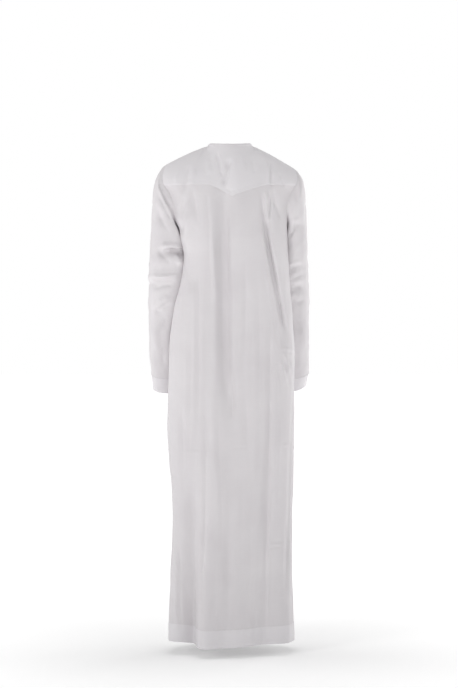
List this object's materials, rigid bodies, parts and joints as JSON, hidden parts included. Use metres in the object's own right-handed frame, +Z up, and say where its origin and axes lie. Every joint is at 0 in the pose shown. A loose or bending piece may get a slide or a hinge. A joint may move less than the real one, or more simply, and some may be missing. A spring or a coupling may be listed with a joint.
{
  "type": "thobe robe",
  "caption": "Hollow ankle-length white robe with a pointed back yoke, narrow neckband, placket, long cuffed sleeves and a doubled hem, in worn form.",
  "frame": {"origin": "middle of the neck opening, level with the shoulders that hold the robe up", "axes": "+Z up, +Y towards the robe's back, +X towards the wearer's left"},
  "size_m": [0.4574, 0.2811, 1.4032],
  "materials": {
    "main_cloth": "soft white cotton blend, plain weave, one layer",
    "doubled_cloth": "the same white cloth in two layers, brighter and crisper",
    "button_plastic": "off-white button, semi-gloss"
  },
  "bodies": {
    "root": {"back_panel": "main_cloth", "back_yoke": "doubled_cloth", "front_panel": "main_cloth", "neck_band": "doubled_cloth", "placket": "doubled_cloth", "button_1": "button_plastic", "button_2": "button_plastic", "button_3": "button_plastic", "button_4": "button_plastic", "sleeve_left": "main_cloth", "sleeve_right": "main_cloth", "cuff_left": "doubled_cloth", "cuff_right": "doubled_cloth", "hem_band": "doubled_cloth"}
  },
  "joints": []
}
